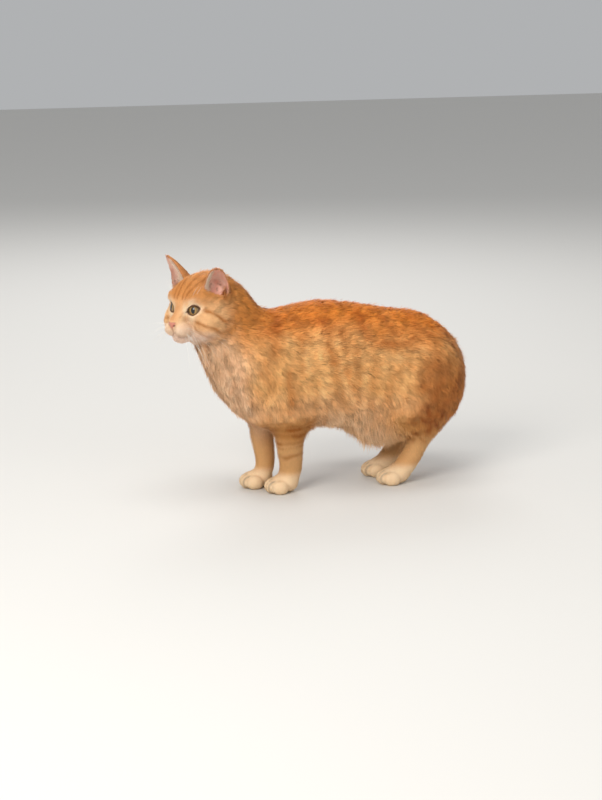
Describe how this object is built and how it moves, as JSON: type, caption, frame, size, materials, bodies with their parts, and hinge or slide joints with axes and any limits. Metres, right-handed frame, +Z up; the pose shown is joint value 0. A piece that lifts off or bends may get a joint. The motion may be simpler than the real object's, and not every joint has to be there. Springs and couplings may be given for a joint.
{
  "type": "european shorthair cat",
  "caption": "Life-size still model of a ginger tabby european shorthair cat standing on all fours, head turned to its left.",
  "frame": {"origin": "on the floor, under the middle of the box round the whole cat", "axes": "-X is the way the cat's body faces, -Y is its left side, +Z is up"},
  "size_m": [0.4498, 0.183, 0.3355],
  "materials": {
    "ginger_coat": "soft short fur",
    "cream_coat": "soft short fur",
    "ear": "thin skin with short fur",
    "eye": "wet gloss"
  },
  "bodies": {
    "root": {"head": "ginger_coat", "ear_left": "ear", "ear_right": "ear", "eye_left": "eye", "eye_right": "eye", "neck": "ginger_coat", "chest": "ginger_coat", "belly": "ginger_coat", "rump": "ginger_coat", "upper_foreleg_left": "ginger_coat", "forearm_left": "cream_coat", "fore_paw_left": "cream_coat", "thigh_left": "ginger_coat", "metatarsus_left": "cream_coat", "hind_paw_left": "cream_coat", "upper_foreleg_right": "ginger_coat", "forearm_right": "cream_coat", "fore_paw_right": "cream_coat", "thigh_right": "ginger_coat", "metatarsus_right": "cream_coat", "hind_paw_right": "cream_coat", "tail_base": "ginger_coat", "tail_mid": "ginger_coat", "tail_tip": "ginger_coat"}
  },
  "joints": []
}
